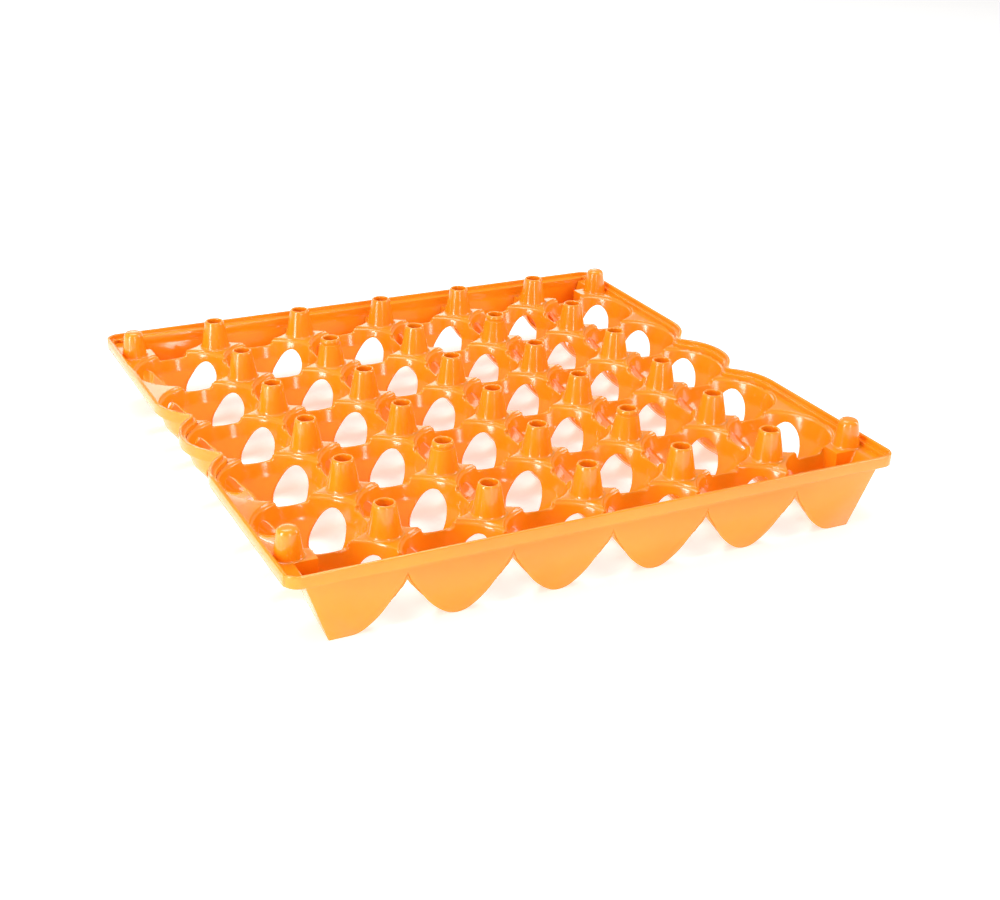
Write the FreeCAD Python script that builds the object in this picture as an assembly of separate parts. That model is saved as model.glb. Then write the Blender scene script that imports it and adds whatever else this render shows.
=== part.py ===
"""Thirty-cell stacking egg tray, one injection moulding, modelled region by region.

Each named region of the moulding (egg cells, half cells along the front and back edges,
rows of stacking pegs, corner pegs, end skirts and rim) is written as its own STEP file.
Frame: origin at the centre of the base, +Z up, +X along the front skirt, +Y to the back.
"""
import FreeCAD, Part
import math
import os

V = FreeCAD.Vector
ORIGIN = V(0, 0, 0)
UP = V(0, 0, 1)

# ---- driving dimensions, millimetres and degrees ----
PITCH = 48.0              # spacing of the cells both ways
COLUMNS = 6               # cells along X
ROWS = 5                  # cells along Y
SHEET = 1.6               # wall of the moulding
RIM_REACH = 4.8           # rim edge beyond the outermost cell borders

SHOULDER_HEIGHT = 32.0    # flat tops of the pillars; other heights go up or down from here
SADDLE_DROP = 3.7         # ridge between two neighbouring cells
VALLEY_DROP = 9.0         # where the outsides of neighbouring cups part
LOBE_VALLEY_DROP = 6.4    # where two lobes of a skirt part
RIM_RISE = 4.0
RIM_STEP_RISE = 1.7       # small ledge inside the rim
PEG_RISE = 14.5
CORNER_PEG_RISE = 13.5

MOUTH_STEP = 1.3          # depth of the step round each cup mouth
FOOT_RADIUS = 11.0        # outside radii of a cup's section, bottom to top
BELLY_RADIUS = 34.0
CUP_KNEE_RADIUS = 8.0
FOOT_ANGLE = 33.0         # slopes where one radius hands over to the next
CUP_BELLY_ANGLE = 51.5
CUP_WALL_ANGLE = 75.0
LOBE_KNEE_RADIUS = 20.0   # the skirt's lobes are a little slimmer than the cups
LOBE_BELLY_ANGLE = 56.0
LOBE_WALL_ANGLE = 72.0
SEAT_RADIUS = 3.5         # flat under each cup, which rests on a peg of the tray below
DRAIN_RADIUS = 2.0

SADDLE_HALF_WIDTH = 8.75  # ridge, from its middle to the pillar top
SADDLE_RAMP = 2.6         # run of the S-shaped ramp at each end

WINDOW_DROP = 5.3         # top of the egg-shaped window in every pillar face
WINDOW_BOTTOM = 7.0
WINDOW_HALF_WIDTH = 8.2
WINDOW_TAPER = 0.2        # how much narrower the window's top half is than its bottom half
WINDOW_POINTS = 12

PEG_LAND = 0.94           # shoulder left between a peg and the cup mouths round it
PEG_TOP_RADIUS = 5.4
PEG_MOUTH_RADIUS = 3.85
PEG_WALL = 1.5
PEG_GROOVE_DEPTH = 0.45   # ring under the lip of the four marked pegs
PEG_GROOVE_WIDTH = 1.3
PEG_LIP = 1.7
CORNER_PEG_BASE_RADIUS = 6.4
CORNER_PEG_TOP_RADIUS = 4.6
CORNER_PEG_DOME = 2.2
CORNER_PEG_SETBACK = 2.9  # corner peg axis beyond the outermost row of pegs

RIM_WALL = 1.5
RIM_LEDGE = 1.7           # width of the inner ledge
RIM_CORNER_RADIUS = 7.0
NOTCH_RADIUS = 2.5        # rounding at the bottom of a finger notch
SKIRT_FOOT_INSET = 7.2    # skirt face behind the rim edge, at the floor
END_LOBE_FOOT = 9.6       # end of the skirt past the last cell centre, at the floor
END_LOBE_HEAD = 18.0      # and at the cups' valley height
BOSS_LAND = 0.3           # boss left round the foot of a corner peg

# ---- worked out from the driving dimensions ----
HALF = PITCH / 2
CELL_X = [(i - (COLUMNS - 1) / 2) * PITCH for i in range(COLUMNS)]
CELL_Y = [(j - (ROWS - 1) / 2) * PITCH for j in range(ROWS)]
PEG_X = [(i - (COLUMNS - 2) / 2) * PITCH for i in range(COLUMNS - 1)]
PEG_Y = [(j - ROWS / 2) * PITCH for j in range(ROWS + 1)]
FIELD_X = COLUMNS * HALF                 # outermost cell borders at the sides
FIELD_Y = (ROWS + 1) * HALF              # centres of the front and back half cells
SADDLE_HEIGHT = SHOULDER_HEIGHT - SADDLE_DROP
VALLEY_HEIGHT = SHOULDER_HEIGHT - VALLEY_DROP
LOBE_VALLEY_HEIGHT = SHOULDER_HEIGHT - LOBE_VALLEY_DROP
WINDOW_TOP = SHOULDER_HEIGHT - WINDOW_DROP
RIM_HEIGHT = SHOULDER_HEIGHT + RIM_RISE
RIM_STEP_HEIGHT = SHOULDER_HEIGHT + RIM_STEP_RISE
REACH_X = FIELD_X + RIM_REACH
REACH_Y = FIELD_Y + RIM_REACH
RIM_INSET = RIM_WALL + RIM_LEDGE         # also where the head of the skirt stands
MOUTH_RADIUS = HALF + RIM_REACH - RIM_INSET   # cup mouth at the shoulder, which touches the ledge
SLAB_BOTTOM = SHOULDER_HEIGHT - SHEET
PEG_BASE_RADIUS = PITCH * math.sqrt(0.5) - MOUTH_RADIUS - PEG_LAND
CORNER_PEG_X = REACH_X - RIM_INSET - CORNER_PEG_BASE_RADIUS   # its foot touches the ledge
CORNER_PEG_Y = PEG_Y[-1] + CORNER_PEG_SETBACK
BOSS_REACH = CORNER_PEG_SETBACK + CORNER_PEG_BASE_RADIUS + BOSS_LAND
MARKED_PEGS = [(x, y) for x in (PEG_X[1], PEG_X[-2]) for y in (PEG_Y[1], PEG_Y[-2])]
SPARE = 4.0                              # cutters run this far past what they cut
CUP = (CUP_BELLY_ANGLE, CUP_KNEE_RADIUS, CUP_WALL_ANGLE, VALLEY_HEIGHT)
LOBE = (LOBE_BELLY_ANGLE, LOBE_KNEE_RADIUS, LOBE_WALL_ANGLE, LOBE_VALLEY_HEIGHT)


# ---- small helpers ----

def box(low, high):
    """A box between two opposite corners."""
    size = V(*high) - V(*low)
    return Part.makeBox(size.x, size.y, size.z, V(*low))


def line(start, end):
    return Part.LineSegment(start, end).toShape()


def moved(shape, x, y, z=0):
    copy = shape.copy()
    copy.translate(V(x, y, z))
    return copy


def turned(shape, angle):
    copy = shape.copy()
    copy.rotate(ORIGIN, UP, angle)
    return copy


def to_left(shape):
    return shape.mirror(ORIGIN, V(1, 0, 0))


def to_back(shape):
    return shape.mirror(ORIGIN, V(0, 1, 0))


def joined(shapes):
    """One shape from several, with the seams between them removed."""
    return shapes[0].fuse(shapes[1:]).removeSplitter()


# ---- the half section of a cup or a skirt lobe, a chain of tangent arcs and straights ----

def slope(angle):
    turn = math.radians(angle)
    return V(math.cos(turn), 0, math.sin(turn))


def arc_point(start, radius, angle_in, angle):
    """Point on a rising arc that leaves start at angle_in, where its slope is angle."""
    begin, here = slope(angle_in), slope(angle)
    return start + V(here.z - begin.z, 0, begin.x - here.x) * radius


def rising_arc(edges, start, radius, angle_in, angle_out):
    """Add a tangent arc to the section and return its far end."""
    middle = arc_point(start, radius, angle_in, (angle_in + angle_out) / 2)
    end = arc_point(start, radius, angle_in, angle_out)
    edges.append(Part.Arc(start, middle, end).toShape())
    return end


def belly_run(form):
    """Straight stretch that brings the outside wall to the valley at the cell border."""
    belly_angle, knee_radius, wall_angle, valley = form
    point = arc_point(ORIGIN, FOOT_RADIUS, 0, FOOT_ANGLE)
    point = arc_point(point, BELLY_RADIUS, FOOT_ANGLE, belly_angle)
    point = arc_point(point, knee_radius, belly_angle, wall_angle)
    gap = V(HALF, 0, valley) - point
    belly, wall = slope(belly_angle), slope(wall_angle)
    return (gap.x * wall.z - gap.z * wall.x) / (belly.x * wall.z - belly.z * wall.x)


def half_section(form, inset, top):
    """Edges of the half section moved inwards by inset, and its upper end."""
    belly_angle, knee_radius, wall_angle, _ = form
    edges = []
    point = V(0, 0, inset)
    point = rising_arc(edges, point, FOOT_RADIUS - inset, 0, FOOT_ANGLE)
    point = rising_arc(edges, point, BELLY_RADIUS - inset, FOOT_ANGLE, belly_angle)
    knee = point + slope(belly_angle) * belly_run(form)
    edges.append(line(point, knee))
    point = rising_arc(edges, knee, knee_radius - inset, belly_angle, wall_angle)
    wall = slope(wall_angle)
    lip = point + wall * ((top - point.z) / wall.z)
    edges.append(line(point, lip))
    return edges, lip


def section_face(inset, top):
    """The half section as a face that ends on the axis."""
    edges, lip = half_section(CUP, inset, top)
    axis_top = V(0, 0, top)
    edges += [line(lip, axis_top), line(axis_top, V(0, 0, inset))]
    return Part.Face(Part.Wire(edges))


def cup(inset, top):
    return section_face(inset, top).revolve(ORIGIN, UP, 360)


# ---- cutters, placed about a cell whose axis is the Z axis ----

def mouth_step():
    """Shallow step round the mouth of a cup."""
    flare = MOUTH_STEP / math.tan(math.radians(CUP_WALL_ANGLE))
    floor = V(0, 0, SHOULDER_HEIGHT - MOUTH_STEP)
    return Part.makeCone(MOUTH_RADIUS - flare, MOUTH_RADIUS + flare, 2 * MOUTH_STEP, floor)


def ramp():
    """S-shaped end of a saddle, two equal arcs from the ridge up to the pillar top."""
    rise = SHOULDER_HEIGHT - SADDLE_HEIGHT
    radius = (SADDLE_RAMP ** 2 + rise ** 2) / (4 * min(rise, SADDLE_RAMP))
    low = V(0, SADDLE_HALF_WIDTH - SADDLE_RAMP, SADDLE_HEIGHT)
    high = V(0, SADDLE_HALF_WIDTH, SHOULDER_HEIGHT)
    middle = (low + high) * 0.5
    chord = (middle - low) * 0.5
    sag = radius - math.sqrt(radius ** 2 - chord.Length ** 2)
    across = V(0, chord.z, -chord.y).normalize()
    first = Part.Arc(low, low + chord + across * sag, middle).toShape()
    second = Part.Arc(middle, high - chord - across * sag, high).toShape()
    return Part.Wire([first, second])


def saddle_cutter():
    """Lowers the ridge at the +X border of a cell."""
    top = SHOULDER_HEIGHT + SPARE
    low = SADDLE_HALF_WIDTH - SADDLE_RAMP
    high = SADDLE_HALF_WIDTH
    edges = ramp().Edges + to_back(ramp()).Edges
    edges.append(line(V(0, -low, SADDLE_HEIGHT), V(0, low, SADDLE_HEIGHT)))
    edges.append(line(V(0, high, SHOULDER_HEIGHT), V(0, high, top)))
    edges.append(line(V(0, high, top), V(0, -high, top)))
    edges.append(line(V(0, -high, top), V(0, -high, SHOULDER_HEIGHT)))
    face = Part.Face(Part.Wire(Part.sortEdges(edges)[0]))
    depth = 2 * SHEET + MOUTH_STEP
    return moved(face, HALF - depth, 0).extrude(V(2 * depth, 0, 0))


def window_cutter(angle):
    """Egg-shaped window through the pillar face that lies at this angle."""
    middle = (WINDOW_TOP + WINDOW_BOTTOM) / 2
    points = []
    for step in range(WINDOW_POINTS):
        turn = 2 * math.pi * step / WINDOW_POINTS
        width = WINDOW_HALF_WIDTH * math.cos(turn) * (1 - WINDOW_TAPER * math.sin(turn))
        points.append(V(FOOT_RADIUS / 2, width, middle + (WINDOW_TOP - middle) * math.sin(turn)))
    curve = Part.BSplineCurve()
    curve.interpolate(points, PeriodicFlag=True)
    face = Part.Face(Part.Wire([curve.toShape()]))
    to_pillar = PITCH * math.sqrt(0.5) - FOOT_RADIUS / 2
    return turned(face.extrude(V(to_pillar, 0, 0)), angle)


def slab():
    """The sheet at shoulder height, wide enough for any cell's territory."""
    return box((-PITCH, -PITCH, SLAB_BOTTOM), (PITCH, PITCH, SHOULDER_HEIGHT))


def well(radius, x, y):
    """Opening in the slab under a peg."""
    return Part.makeCylinder(radius, SHEET + 2 * SPARE, V(x, y, SLAB_BOTTOM - SPARE))


def peg_wells():
    return [well(PEG_BASE_RADIUS - PEG_WALL, x, y) for x in (-HALF, HALF) for y in (-HALF, HALF)]


def cell(saddles, windows):
    """A cup and its pillar tops about the Z axis; both lists give directions in degrees."""
    body = joined([cup(0, SHOULDER_HEIGHT), slab()])
    cutters = [cup(SHEET, SHOULDER_HEIGHT + SPARE), mouth_step()]
    cutters += [turned(saddle_cutter(), angle) for angle in saddles]
    cutters += [window_cutter(angle) for angle in windows]
    return body.cut(cutters)


def seated(shape):
    """A full cell with the flat, drained seat under its cup."""
    seat = Part.makeCylinder(SEAT_RADIUS, SHEET)
    drain = Part.makeCylinder(DRAIN_RADIUS, SHEET + 2 * SPARE, V(0, 0, -SPARE))
    return joined([shape, seat]).cut(drain)


# ---- rim ----

def finger_bite(inset):
    """Plan of what the notches between the middle cups take off the right-hand edge."""
    radius = REACH_X - CELL_X[-1] - inset
    bite = box((CELL_X[-1], -PITCH, 0), (REACH_X + 1, PITCH, 1))
    cups = [Part.makeCylinder(radius, 1, V(CELL_X[-1], shift * PITCH, 0)) for shift in (-1, 0, 1)]
    bite = bite.cut(cups)
    notch_x = CELL_X[-1] + math.sqrt(radius ** 2 - HALF ** 2)
    upright = [e for e in bite.Edges if abs(e.CenterOfMass.z - 0.5) < 0.1]
    tips = [e for e in upright if abs(e.CenterOfMass.x - notch_x) < 0.1]
    return bite.makeFillet(NOTCH_RADIUS + inset, tips)


def outline_prism(inset, low, high):
    """The tray's plan, moved inwards by inset, between two heights."""
    x, y = REACH_X - inset, REACH_Y - inset
    plate = box((-x, -y, 0), (x, y, 1))
    corners = [e for e in plate.Edges if abs(e.CenterOfMass.z - 0.5) < 0.1]
    plate = plate.makeFillet(RIM_CORNER_RADIUS - inset, corners)
    bite = finger_bite(inset)
    plate = plate.cut([bite, to_left(bite)])
    floor = min(plate.Faces, key=lambda f: f.CenterOfMass.z)
    return moved(floor, 0, 0, low).extrude(V(0, 0, high - low))


def rim_ring():
    """Upright rim wall with its inner ledge, all round the tray."""
    ring = outline_prism(0, SLAB_BOTTOM, RIM_HEIGHT)
    above_ledge = outline_prism(RIM_WALL, RIM_STEP_HEIGHT, RIM_HEIGHT + SPARE)
    return ring.cut([above_ledge, outline_prism(RIM_INSET, SLAB_BOTTOM - SPARE, RIM_HEIGHT)])


def within_rim():
    """Room for the cells: inside the rim at its height, and the whole plan below it."""
    upper = outline_prism(RIM_INSET, SLAB_BOTTOM, SHOULDER_HEIGHT + SPARE)
    return upper.fuse(outline_prism(0, -SPARE, SLAB_BOTTOM))


# ---- front skirt ----

def skirt_plane(offset):
    """Everything in front of the drafted skirt face, which is moved back by offset."""
    head = -REACH_Y + RIM_INSET + offset
    foot = -REACH_Y + SKIRT_FOOT_INSET + offset
    front = -REACH_Y - SPARE
    points = [V(0, front, -SPARE), V(0, foot, -SPARE), V(0, foot, 0), V(0, head, SLAB_BOTTOM),
              V(0, head, RIM_STEP_HEIGHT), V(0, front, RIM_STEP_HEIGHT), V(0, front, -SPARE)]
    face = Part.Face(Part.makePolygon(points))
    return moved(face, -REACH_X, 0).extrude(V(2 * REACH_X, 0, 0))


def end_x(z, inset):
    """Slanted end of the last half cell, from its centre, at a height."""
    lean = (END_LOBE_HEAD - END_LOBE_FOOT) / VALLEY_HEIGHT
    return END_LOBE_FOOT + lean * z - inset * math.hypot(1, lean)


def end_wedge(inset, low):
    """Room between the last cell centre and the slanted end, upwards from a height."""
    top = SHOULDER_HEIGHT + SPARE
    points = [V(0, -PITCH, low), V(end_x(low, inset), -PITCH, low), V(end_x(top, inset), -PITCH, top),
              V(0, -PITCH, top), V(0, -PITCH, low)]
    return Part.Face(Part.makePolygon(points)).extrude(V(0, 2 * PITCH, 0))


def scallop():
    """One lobe of the skirt's lower edge, as a block that runs along Y."""
    edges, lip = half_section(LOBE, 0, RIM_STEP_HEIGHT)
    half = Part.Wire(edges)
    top = line(lip, V(-lip.x, 0, lip.z))
    outline = Part.Wire(Part.sortEdges(half.Edges + to_left(half).Edges + [top])[0])
    return moved(Part.Face(outline), 0, -PITCH).extrude(V(0, 2 * PITCH, 0))


def front_skirt():
    """Flat wall under the front rim: one lobe for each half cell, squared off at both ends."""
    lobes = [moved(scallop(), x, -FIELD_Y) for x in CELL_X]
    beyond = box((CELL_X[-1], -REACH_Y - PITCH, -SPARE), (REACH_X + PITCH, 0, RIM_HEIGHT))
    end = moved(end_wedge(0, 0), CELL_X[-1], -FIELD_Y)
    middle = joined(lobes).cut([beyond, to_left(beyond)])
    plan = joined([middle, end, to_left(end)])
    wall = skirt_plane(SHEET).cut(skirt_plane(0))
    return wall.common(plan)


# ---- the square half cell at each corner ----

def end_cup(inset, top):
    """Round towards the middle of the tray, squared off towards the corner."""
    face = turned(section_face(inset, top), 90)
    back = face.extrude(V(PITCH, 0, 0))
    trough = joined([back, to_back(back)]).common(end_wedge(inset, inset))
    round_half = cup(inset, top).common(box((-PITCH, -PITCH, 0), (0, PITCH, top)))
    return joined([round_half, trough])


def end_cell():
    """Last half cell on the right about the Z axis, with the boss that carries the corner peg."""
    body = joined([end_cup(0, SHOULDER_HEIGHT), slab()])
    room = end_cup(SHEET, SHOULDER_HEIGHT + SPARE)
    side, face = SADDLE_HALF_WIDTH, HALF - BOSS_REACH
    boss = box((side, face, 0), (PITCH, PITCH, SHOULDER_HEIGHT))
    hollow = box((side + SHEET, face + SHEET, -SPARE), (PITCH, PITCH, SLAB_BOTTOM))
    body = body.cut(room.cut(boss)).fuse(boss.common(room)).cut(hollow)
    return body.cut([turned(saddle_cutter(), 90), turned(saddle_cutter(), 180), window_cutter(135)])


# ---- pegs ----

def peg(marked):
    """Hollow stacking peg, open at the top; a marked one has a groove under its lip."""
    outside = Part.makeCone(PEG_BASE_RADIUS, PEG_TOP_RADIUS, PEG_RISE)
    inside = Part.makeCone(PEG_BASE_RADIUS - PEG_WALL, PEG_MOUTH_RADIUS, PEG_RISE)
    body = outside.cut(inside)
    if marked:
        floor = V(0, 0, PEG_RISE - PEG_LIP - PEG_GROOVE_WIDTH)
        core = Part.makeCylinder(PEG_TOP_RADIUS - PEG_GROOVE_DEPTH, PEG_GROOVE_WIDTH, floor)
        body = body.cut(Part.makeCylinder(PEG_BASE_RADIUS, PEG_GROOVE_WIDTH, floor).cut(core))
    return body


def corner_peg():
    """Slimmer hollow peg with a closed, rounded top."""
    outside = Part.makeCone(CORNER_PEG_BASE_RADIUS, CORNER_PEG_TOP_RADIUS, CORNER_PEG_RISE)
    crown = [e for e in outside.Edges if e.BoundBox.ZMin > CORNER_PEG_RISE - 0.01]
    outside = outside.makeFillet(CORNER_PEG_DOME, crown)
    inside = Part.makeCone(CORNER_PEG_BASE_RADIUS - PEG_WALL, CORNER_PEG_TOP_RADIUS - PEG_WALL,
                           CORNER_PEG_RISE - PEG_WALL)
    return outside.cut(inside)


# ---- the whole tray ----

def corner_wells():
    radius = CORNER_PEG_BASE_RADIUS - PEG_WALL
    return [well(radius, x, y) for x in (-CORNER_PEG_X, CORNER_PEG_X) for y in (-CORNER_PEG_Y, CORNER_PEG_Y)]


def territory(x, y_low, y_high, outer):
    """The column of space that belongs to one cell; outer adds the strip up to the rim."""
    high = x + (PITCH if outer else HALF)
    return box((x - HALF, y_low, -SPARE), (high, y_high, SHOULDER_HEIGHT + SPARE))


def full_cells():
    """Thirty cells, row 1 in front and column 1 on the left."""
    diagonals = (45, 135, 225, 315)
    inner = seated(cell((0, 90, 180, 270), diagonals)).cut(peg_wells())
    inner = inner.common(territory(0, -HALF, HALF, False))
    edge = seated(cell((90, 180, 270), diagonals)).cut(peg_wells()[:2])
    room = within_rim()
    shapes = {}
    for row, y in enumerate(CELL_Y, 1):
        for column, x in enumerate(CELL_X[1:-1], 2):
            shapes[f"cell_row{row}_col{column}"] = moved(inner, x, y)
        right = moved(edge, CELL_X[-1], y).common(territory(CELL_X[-1], y - HALF, y + HALF, True))
        right = right.common(room).cut(corner_wells())
        shapes[f"cell_row{row}_col{COLUMNS}"] = right
        shapes[f"cell_row{row}_col1"] = to_left(right)
    return shapes


def half_cells(skirt):
    """The half cells behind the front skirt and their mirror images behind the back one."""
    in_front = box((-REACH_X, -REACH_Y - SPARE, -SPARE), (REACH_X, 0, SLAB_BOTTOM))
    trim = [skirt, skirt_plane(0).common(in_front)]
    inner = cell((0, 90, 180), (45, 135)).cut(peg_wells())
    room = within_rim()
    shapes = {}
    for column, x in enumerate(CELL_X[1:-1], 2):
        shape = moved(inner, x, -FIELD_Y).common(territory(x, -REACH_Y, PEG_Y[0], False))
        shapes[column] = shape.common(room).cut(trim)
    x = CELL_X[-1]
    shape = moved(end_cell().cut(peg_wells()[:2]), x, -FIELD_Y)
    shape = shape.common(territory(x, -REACH_Y, PEG_Y[0], True))
    shapes[COLUMNS] = shape.common(room).cut(trim + corner_wells())
    shapes[1] = to_left(shapes[COLUMNS])
    named = {}
    for column, shape in shapes.items():
        named[f"half_cell_front_col{column}"] = shape
        named[f"half_cell_back_col{column}"] = to_back(shape)
    return named


def rim_sides():
    ring = rim_ring()
    front = box((-REACH_X - 1, -REACH_Y - 1, 0), (REACH_X + 1, -FIELD_Y, PITCH))
    right = box((0, -FIELD_Y, 0), (REACH_X + 1, FIELD_Y, PITCH))
    front_rim, right_rim = ring.common(front), ring.common(right)
    return {"rim_front": front_rim, "rim_back": to_back(front_rim),
            "rim_right": right_rim, "rim_left": to_left(right_rim)}


def peg_rows():
    """Stacking pegs, one group of separate solids for each row, row 1 in front."""
    rows = {}
    for row, y in enumerate(PEG_Y, 1):
        pegs = [moved(peg((x, y) in MARKED_PEGS), x, y, SHOULDER_HEIGHT) for x in PEG_X]
        rows[f"stacking_pegs_row{row}"] = Part.makeCompound(pegs)
    return rows


def corner_pegs():
    pegs = {}
    for side, x in (("left", -CORNER_PEG_X), ("right", CORNER_PEG_X)):
        for end, y in (("front", -CORNER_PEG_Y), ("back", CORNER_PEG_Y)):
            pegs[f"corner_peg_{end}_{side}"] = moved(corner_peg(), x, y, SHOULDER_HEIGHT)
    return pegs


def main():
    os.makedirs("parts", exist_ok=True)
    skirt = front_skirt()
    nodes = {"skirt_front": skirt, "skirt_back": to_back(skirt)}
    nodes.update(rim_sides())
    nodes.update(full_cells())
    nodes.update(half_cells(skirt))
    nodes.update(peg_rows())
    nodes.update(corner_pegs())
    for name, shape in nodes.items():
        shape.exportStep(f"parts/{name}.step")
        print(f"{name}: {len(shape.Solids)} solid(s), {shape.Volume / 1000:.2f} cm3")


main()
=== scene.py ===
import math
import bpy
from mathutils import Matrix, Vector


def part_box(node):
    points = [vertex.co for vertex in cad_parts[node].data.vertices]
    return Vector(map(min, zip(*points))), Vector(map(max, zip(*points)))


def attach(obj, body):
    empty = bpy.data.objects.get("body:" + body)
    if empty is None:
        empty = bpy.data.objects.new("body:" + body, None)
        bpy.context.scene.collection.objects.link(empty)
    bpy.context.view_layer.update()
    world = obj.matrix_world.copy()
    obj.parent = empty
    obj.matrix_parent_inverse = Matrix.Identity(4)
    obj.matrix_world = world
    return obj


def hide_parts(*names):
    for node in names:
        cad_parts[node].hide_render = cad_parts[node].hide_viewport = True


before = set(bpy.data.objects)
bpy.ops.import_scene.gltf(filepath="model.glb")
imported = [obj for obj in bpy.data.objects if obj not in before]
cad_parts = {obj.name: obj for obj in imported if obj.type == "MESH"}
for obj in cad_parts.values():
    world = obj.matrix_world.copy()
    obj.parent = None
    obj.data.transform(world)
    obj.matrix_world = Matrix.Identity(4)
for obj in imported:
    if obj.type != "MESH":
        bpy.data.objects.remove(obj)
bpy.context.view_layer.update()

# ---- the plastic ----
# Every region of the tray is the same shot of bright orange polypropylene. It comes out of the
# mould with a satin gloss, lets a little light through, and has a faint orange-peel skin.
MOULDED = (1.0, 0.29, 0.006, 1.0)
THIN_FLOW = (1.0, 0.35, 0.011, 1.0)
FLOW_SCALE = 22.0
HANDLING_SCALE = 95.0
SKIN_SCALE = 650.0
SPECK_SCALE = 2600.0
SMOOTH_BELOW = math.radians(40)


class Mix:
    """A shader socket that takes part in sums and products."""

    def __init__(self, tree, socket):
        self.tree = tree
        self.socket = socket

    def node(self, kind, inputs=(), out=0, **settings):
        """Any other node, fed by a dict of inputs; gives back one of its outputs."""
        made = self.tree.nodes.new(kind)
        for name, value in settings.items():
            setattr(made, name, value)
        for name, value in dict(inputs).items():
            if isinstance(value, Mix):
                self.tree.links.new(value.socket, made.inputs[name])
            else:
                made.inputs[name].default_value = value
        return Mix(self.tree, made.outputs[out])

    def sum(self, operation, first, second):
        return self.node("ShaderNodeMath", {0: first, 1: second}, operation=operation)

    def __add__(self, other):
        return self.sum("ADD", self, other)

    def __radd__(self, other):
        return self.sum("ADD", other, self)

    def __sub__(self, other):
        return self.sum("SUBTRACT", self, other)

    def __rsub__(self, other):
        return self.sum("SUBTRACT", other, self)

    def __mul__(self, other):
        return self.sum("MULTIPLY", self, other)

    def __rmul__(self, other):
        return self.sum("MULTIPLY", other, self)


plastic = bpy.data.materials.new("orange_polypropylene")
plastic.use_nodes = True
shader = plastic.node_tree.nodes["Principled BSDF"]
place = Mix(plastic.node_tree, plastic.node_tree.nodes.new("ShaderNodeTexCoord").outputs["Object"])


def noise(scale, detail, roughness=0.5):
    """Soft mottling across the plastic, finer as scale goes up."""
    inputs = {"Vector": place, "Scale": scale, "Detail": detail, "Roughness": roughness}
    return place.node("ShaderNodeTexNoise", inputs)


flow = noise(FLOW_SCALE, 3.0, 0.45)
skin = noise(SKIN_SCALE, 2.0)
handling = noise(HANDLING_SCALE, 5.0, 0.62)
specks = noise(SPECK_SCALE, 1.0)
tint = place.node("ShaderNodeMix", {0: (flow - 0.3) * 1.6, 6: MOULDED, 7: THIN_FLOW},
                  out=2, data_type="RGBA")
shade = 0.95 + 0.06 * handling + 0.03 * specks
colour = place.node("ShaderNodeVectorMath", {0: tint, "Scale": shade}, operation="SCALE")
gloss = 0.11 + 0.07 * handling + 0.03 * skin
relief = 0.75 * skin + 0.25 * handling
bump = place.node("ShaderNodeBump", {"Strength": 0.1, "Distance": 0.0001, "Height": relief})
for name, varying in (("Base Color", colour), ("Roughness", gloss), ("Normal", bump)):
    plastic.node_tree.links.new(varying.socket, shader.inputs[name])
shader.inputs["IOR"].default_value = 1.49
shader.inputs["Specular IOR Level"].default_value = 0.6
shader.inputs["Subsurface Weight"].default_value = 0.22
shader.inputs["Subsurface Radius"].default_value = (1.0, 0.42, 0.08)
shader.inputs["Subsurface Scale"].default_value = 0.0022
shader.inputs["Coat Weight"].default_value = 0.3
shader.inputs["Coat Roughness"].default_value = 0.1


def only(*chosen):
    """Selects just these objects, the last one active."""
    bpy.ops.object.select_all(action="DESELECT")
    for piece in chosen:
        piece.select_set(True)
        bpy.context.view_layer.objects.active = piece


def in_edit_mode(select):
    """Opens the active mesh with everything or nothing selected."""
    bpy.ops.object.mode_set(mode="EDIT")
    bpy.ops.mesh.select_all(action=select)


def region(piece, *nodes):
    """Finishes a piece that stands for these CAD nodes."""
    piece.name = nodes[0] + "_moulded"
    piece.data.name = piece.name
    piece.data.materials.clear()
    piece.data.materials.append(plastic)
    only(piece)
    bpy.ops.object.shade_smooth_by_angle(angle=SMOOTH_BELOW)
    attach(piece, "root")
    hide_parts(*nodes)


# ---- the egg cells and half cells ----
# The orange moulding dips into thirty round cups with windowed pillars between them, and into half
# cups behind the front and back skirts. Cells alike are made once: the sharp model of one part of
# the tray is fused, rounded by a fine remesh, parted at the cell borders and copied.
COLUMNS = 6
ROWS = 5
MIDDLE_ROW = 3
GRAIN = 0.0004
KEPT_FACES = 0.33
ROUNDING = 5
BORDER_SPARE = 0.003
SAME_POINT = 1e-6
ON_THE_CUT = 1e-7


def node_copy(name):
    """A copy of a CAD node with its loose triangles merged."""
    only(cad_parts[name])
    bpy.ops.object.duplicate()
    copy = bpy.context.view_layer.objects.active
    in_edit_mode("SELECT")
    bpy.ops.mesh.remove_doubles(threshold=SAME_POINT)
    bpy.ops.object.mode_set(mode="OBJECT")
    return copy


def with_modifier(piece, kind, **settings):
    """Adds a modifier to a piece and applies it."""
    only(piece)
    modifier = piece.modifiers.new(kind.title(), kind)
    for name, value in settings.items():
        setattr(modifier, name, value)
    bpy.ops.object.modifier_apply(modifier=modifier.name)


def trimmed(piece, x_low, x_high, y_low, y_high):
    """Cuts a piece square at these borders, None leaves that side as it is, and closes the cuts."""
    only(piece)
    for axis, at, keep in ((0, x_low, 1), (0, x_high, -1), (1, y_low, 1), (1, y_high, -1)):
        if at is not None:
            in_edit_mode("SELECT")
            point, normal = [0.0, 0.0, 0.0], [0.0, 0.0, 0.0]
            point[axis], normal[axis] = at, keep
            bpy.ops.mesh.bisect(plane_co=point, plane_no=normal, clear_inner=True,
                                threshold=ON_THE_CUT)
            bpy.ops.object.mode_set(mode="OBJECT")
    in_edit_mode("SELECT")
    bpy.ops.mesh.fill_holes(sides=0)
    bpy.ops.object.mode_set(mode="OBJECT")
    return piece


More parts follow.
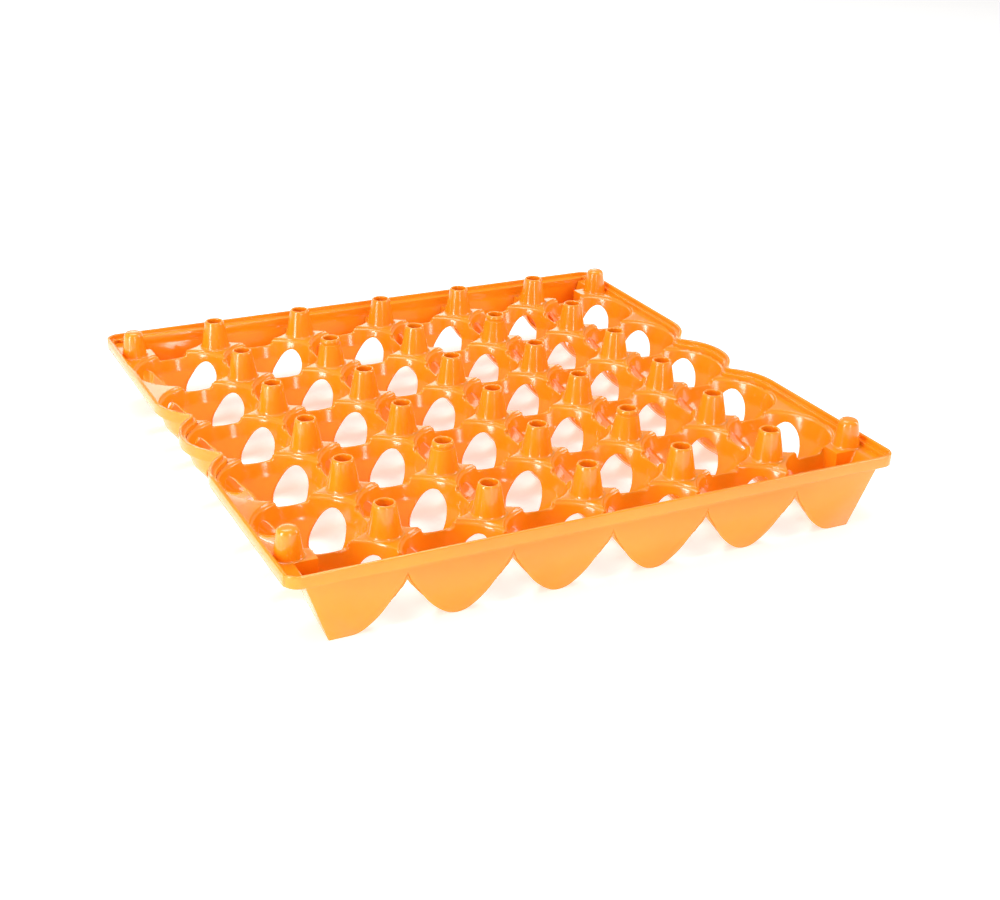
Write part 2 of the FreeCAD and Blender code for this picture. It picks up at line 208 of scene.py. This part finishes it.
def copied(piece, shift=(0, 0, 0), flip=(1, 1, 1)):
    """A copy with its own mesh, mirrored across the middle planes where flip is -1, then moved."""
    only(piece)
    bpy.ops.object.duplicate()
    copy = bpy.context.view_layer.objects.active
    in_edit_mode("SELECT")
    if -1 in flip:
        bpy.ops.transform.resize(value=flip, center_override=(0, 0, 0))
        if flip[0] * flip[1] * flip[2] < 0:
            bpy.ops.mesh.flip_normals()
    if any(shift):
        bpy.ops.transform.translate(value=shift)
    bpy.ops.object.mode_set(mode="OBJECT")
    return copy


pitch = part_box("cell_row3_col3")[1].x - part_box("cell_row3_col3")[0].x


def front_border(row):
    """Where a row of cells begins, seen from the front."""
    return (row - MIDDLE_ROW - 0.5) * pitch


def left_border(column):
    """Where a column of cells begins, seen from the left."""
    return (column - 1 - COLUMNS / 2) * pitch


names = [f"half_cell_front_col{c}" for c in (1, 2, 3)]
names += [f"cell_row{r}_col{c}" for r in (1, 2, 3, 4) for c in (1, 2, 3)]
block = node_copy(names[0])
for name in names[1:]:
    neighbour = node_copy(name)
    with_modifier(block, "BOOLEAN", object=neighbour, operation="UNION", solver="MANIFOLD")
    bpy.data.objects.remove(neighbour)
trimmed(block, None, left_border(3) + BORDER_SPARE, None, front_border(4) + BORDER_SPARE)
with_modifier(block, "REMESH", mode="VOXEL", voxel_size=GRAIN)
with_modifier(block, "SMOOTH", factor=0.5, iterations=ROUNDING)
with_modifier(block, "DECIMATE", ratio=KEPT_FACES)

edge_rows = [trimmed(copied(block), None, left_border(2), front_border(r), front_border(r + 1))
             for r in (1, 2, 3)]
inner_cell = trimmed(copied(block), left_border(2), left_border(3),
                     front_border(2), front_border(3))
half_cell = trimmed(copied(block), left_border(2), left_border(3), None, front_border(1))
corner_half = trimmed(copied(block), None, left_border(2), None, front_border(1))

for row in range(1, ROWS + 1):
    for column in range(2, COLUMNS):
        cell = copied(inner_cell, ((column - 2) * pitch, (row - 2) * pitch, 0))
        region(cell, f"cell_row{row}_col{column}")
    for column, side in ((1, 1), (COLUMNS, -1)):
        source = edge_rows[min(row, ROWS + 1 - row) - 1]
        cell = copied(source, flip=(side, 1 if row <= MIDDLE_ROW else -1, 1))
        region(cell, f"cell_row{row}_col{column}")
for end, turn in (("front", 1), ("back", -1)):
    for column in range(2, COLUMNS):
        cup = copied(half_cell, ((column - 2) * pitch, 0, 0), (1, turn, 1))
        region(cup, f"half_cell_{end}_col{column}")
    for column, side in ((1, 1), (COLUMNS, -1)):
        region(copied(corner_half, flip=(side, turn, 1)), f"half_cell_{end}_col{column}")
for used in [block, inner_cell, half_cell, corner_half] + edge_rows:
    bpy.data.objects.remove(used)

# ---- the rim and the skirts ----
# An upright rim with an inner ledge runs round the tray, with finger notches in both sides. Under
# its front and back stand drafted skirts with a scalloped foot. All are the sharp model's walls in
# orange plastic, with softly rounded edges.
EDGE_ROUND = 0.00045
FLAT_WITHIN = math.radians(1)
SHARP_ABOVE = math.radians(30)

for name in ("rim_front", "rim_back", "rim_left", "rim_right", "skirt_front", "skirt_back"):
    wall = node_copy(name)
    with_modifier(wall, "DECIMATE", decimate_type="DISSOLVE", angle_limit=FLAT_WITHIN)
    with_modifier(wall, "BEVEL", width=EDGE_ROUND, segments=3, limit_method="ANGLE",
                  angle_limit=SHARP_ABOVE, harden_normals=True)
    region(wall, name)

# ---- the stacking pegs ----
# Thirty hollow, slightly conical orange pegs stand on the pillar tops. Each is turned from a
# profile, open at the top, with a soft fillet at the foot and a rounded lip. Four of them have a
# shallow ring groove under the lip.
FACETS = 72
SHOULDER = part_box("stacking_pegs_row1")[0].z
PEG_OUTSIDE = [(5.9, 0), (8.35, 0.02), (7.95, 0.1), (7.62, 0.34), (7.42, 0.7), (7.28, 1.2),
               (6.44, 5.9), (5.64, 10.4)]
PEG_PLAIN_NECK = [(5.42, 11.6), (5.22, 12.75)]
PEG_GROOVED_NECK = [(5.56, 11.0), (5.5, 11.35), (5.26, 11.5), (4.88, 11.62), (4.68, 11.8),
                    (4.66, 12.2), (4.78, 12.5), (5.04, 12.68), (5.18, 12.8)]
PEG_LIP = [(5.1, 13.4), (4.98, 13.9), (4.78, 14.28), (4.45, 14.48), (4.2, 14.5), (3.95, 14.4),
           (3.8, 14.15), (3.8, 13.6), (4.6, 8.0), (5.9, 0)]


def turned_piece(profile, closed_top=False):
    """Turns a profile of (radius, height) in millimetres about the Z axis, on the pillar top."""
    bpy.ops.object.select_all(action="DESELECT")
    radius, height = profile[0]
    bpy.ops.mesh.primitive_circle_add(vertices=FACETS, radius=radius / 1000,
                                      location=(0, 0, SHOULDER + height / 1000))
    piece = bpy.context.view_layer.objects.active
    bpy.ops.object.transform_apply(location=True)
    in_edit_mode("SELECT")
    for (before, low), (after, high) in zip(profile, profile[1:]):
        rise = (0, 0, (high - low) / 1000)
        bpy.ops.mesh.extrude_edges_move(TRANSFORM_OT_translate={"value": rise})
        scale = after / before
        bpy.ops.transform.resize(value=(scale, scale, 1))
    if closed_top:
        bpy.ops.mesh.merge(type="CENTER")
    bpy.ops.mesh.select_all(action="SELECT")
    bpy.ops.mesh.remove_doubles(threshold=SAME_POINT)
    bpy.ops.mesh.normals_make_consistent(inside=False)
    bpy.ops.object.mode_set(mode="OBJECT")
    return piece


plain_peg = turned_piece(PEG_OUTSIDE + PEG_PLAIN_NECK + PEG_LIP)
grooved_peg = turned_piece(PEG_OUTSIDE + PEG_GROOVED_NECK + PEG_LIP)
for row in range(1, ROWS + 2):
    pegs = []
    for column in range(2, COLUMNS + 1):
        grooved = row in (2, ROWS) and column in (3, COLUMNS - 1)
        shift = (left_border(column), front_border(row), 0)
        pegs.append(copied(grooved_peg if grooved else plain_peg, shift))
    only(*pegs)
    bpy.ops.object.join()
    region(bpy.context.view_layer.objects.active, f"stacking_pegs_row{row}")
for used in (plain_peg, grooved_peg):
    bpy.data.objects.remove(used)

# ---- the corner pegs ----
# Slimmer orange pegs with a domed top stand over the corner bosses. Each is turned from a profile
# as a single skin, which is open at the foot.
CORNER_PEG = [(4.9, 0), (7.2, 0.02), (6.85, 0.1), (6.55, 0.32), (6.38, 0.7), (6.28, 1.2),
              (5.5, 6.3), (4.82, 11.1), (4.62, 11.9), (4.2, 12.62), (3.5, 13.15), (2.4, 13.44),
              (1.2, 13.5), (0.02, 13.5)]

corner_peg = turned_piece(CORNER_PEG, closed_top=True)
for name in [f"corner_peg_{end}_{side}" for end in ("front", "back") for side in ("left", "right")]:
    low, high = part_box(name)
    middle = (low + high) / 2
    region(copied(corner_peg, (middle.x, middle.y, 0)), name)
bpy.data.objects.remove(corner_peg)

# ---- the floor, the lights and the camera ----
# The tray stands on a plain pale floor under large soft lights.
bpy.ops.object.select_all(action="DESELECT")
bpy.ops.mesh.primitive_plane_add(size=12.0, location=(0, 0, 0))
floor = bpy.context.view_layer.objects.active
floor.name = "pale_floor"
paper = bpy.data.materials.new("pale_floor")
paper.use_nodes = True
paper_shader = paper.node_tree.nodes["Principled BSDF"]
paper_shader.inputs["Base Color"].default_value = (0.86, 0.86, 0.86, 1)
paper_shader.inputs["Roughness"].default_value = 0.9
paper_shader.inputs["Emission Color"].default_value = (1.0, 0.99, 0.98, 1)
paper_shader.inputs["Emission Strength"].default_value = 0.45
floor.data.materials.append(paper)

world = bpy.data.worlds.new("pale_room")
world.use_nodes = True
world.node_tree.nodes["Background"].inputs["Color"].default_value = (1.0, 0.985, 0.97, 1)
world.node_tree.nodes["Background"].inputs["Strength"].default_value = 0.45
bpy.context.scene.world = world


def soft_light(name, place, size, power, aim=(0, 0, 0.02)):
    """A soft rectangular light, width by height, aimed at a point."""
    bpy.ops.object.light_add(type="AREA", location=place)
    lamp = bpy.context.view_layer.objects.active
    lamp.name = name
    lamp.data.shape = "RECTANGLE"
    lamp.data.size, lamp.data.size_y = size
    lamp.data.energy = power
    lamp.rotation_euler = (Vector(aim) - Vector(place)).to_track_quat("-Z", "Y").to_euler()


soft_light("overhead_softbox", (-0.1, 0.3, 1.25), (1.0, 0.7), 9.3)
soft_light("left_strip", (-0.9, -0.28, 0.34), (0.24, 0.66), 6.5, aim=(0, 0, 0.3))
soft_light("front_strip", (-0.1, -1.1, 0.34), (0.16, 0.66), 2.6, aim=(0, 0, 0.3))
soft_light("right_softbox", (1.15, -0.35, 0.5), (0.3, 0.9), 5, aim=(0, 0, 0.1))
soft_light("back_softbox", (0.3, 1.5, 0.6), (1.2, 0.3), 2.5)

CAMERA_TARGET = Vector((-0.0292, -0.0920, 0.0465))
CAMERA_BACK = Vector((-0.408, -0.815, 0.411)).normalized()
CAMERA_DISTANCE = 0.711
CAMERA_LENS = 57.58
CAMERA_ROLL = math.radians(1.335)
bpy.ops.object.camera_add()
camera = bpy.context.view_layer.objects.active
camera.data.lens = CAMERA_LENS
camera.data.sensor_width = 36
camera.data.clip_start = 0.01
right = Vector((0, 0, 1)).cross(CAMERA_BACK).normalized()
up = CAMERA_BACK.cross(right)
rolled_right = right * math.cos(CAMERA_ROLL) + up * math.sin(CAMERA_ROLL)
rolled_up = up * math.cos(CAMERA_ROLL) - right * math.sin(CAMERA_ROLL)
facing = Matrix((rolled_right, rolled_up, CAMERA_BACK)).transposed().to_4x4()
camera.matrix_world = Matrix.Translation(CAMERA_TARGET + CAMERA_BACK * CAMERA_DISTANCE) @ facing
bpy.context.scene.camera = camera
bpy.context.scene.view_settings.view_transform = "Standard"
